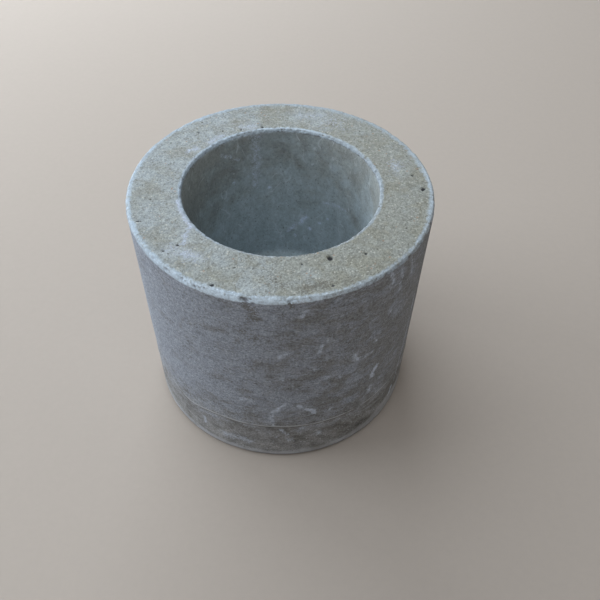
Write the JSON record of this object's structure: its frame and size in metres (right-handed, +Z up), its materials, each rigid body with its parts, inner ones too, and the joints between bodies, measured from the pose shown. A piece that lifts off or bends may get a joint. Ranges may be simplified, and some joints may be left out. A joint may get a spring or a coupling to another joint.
{
  "type": "pen holder cup",
  "caption": "Thick-walled straight round desk cup cast in concrete, with a deep blind well for pens and thin rubber foot pads under its base.",
  "frame": {"origin": "centre of the footprint, on the surface that the cup stands on", "axes": "+Z up along the axis of the cup and of its well; -Y is the side that faces the viewer, +X to the viewer's right"},
  "size_m": [0.1024, 0.1024, 0.09],
  "materials": {
    "concrete": "fine cast concrete, dry and matt: sandy on the rim, mould-smooth and cloudy on the wall, pale on worn edges",
    "pad_rubber": "matt black rubber with a fine grain"
  },
  "bodies": {
    "root": {"cup_body": "concrete", "foot_pad_1": "pad_rubber", "foot_pad_2": "pad_rubber", "foot_pad_3": "pad_rubber", "foot_pad_4": "pad_rubber"}
  },
  "joints": []
}
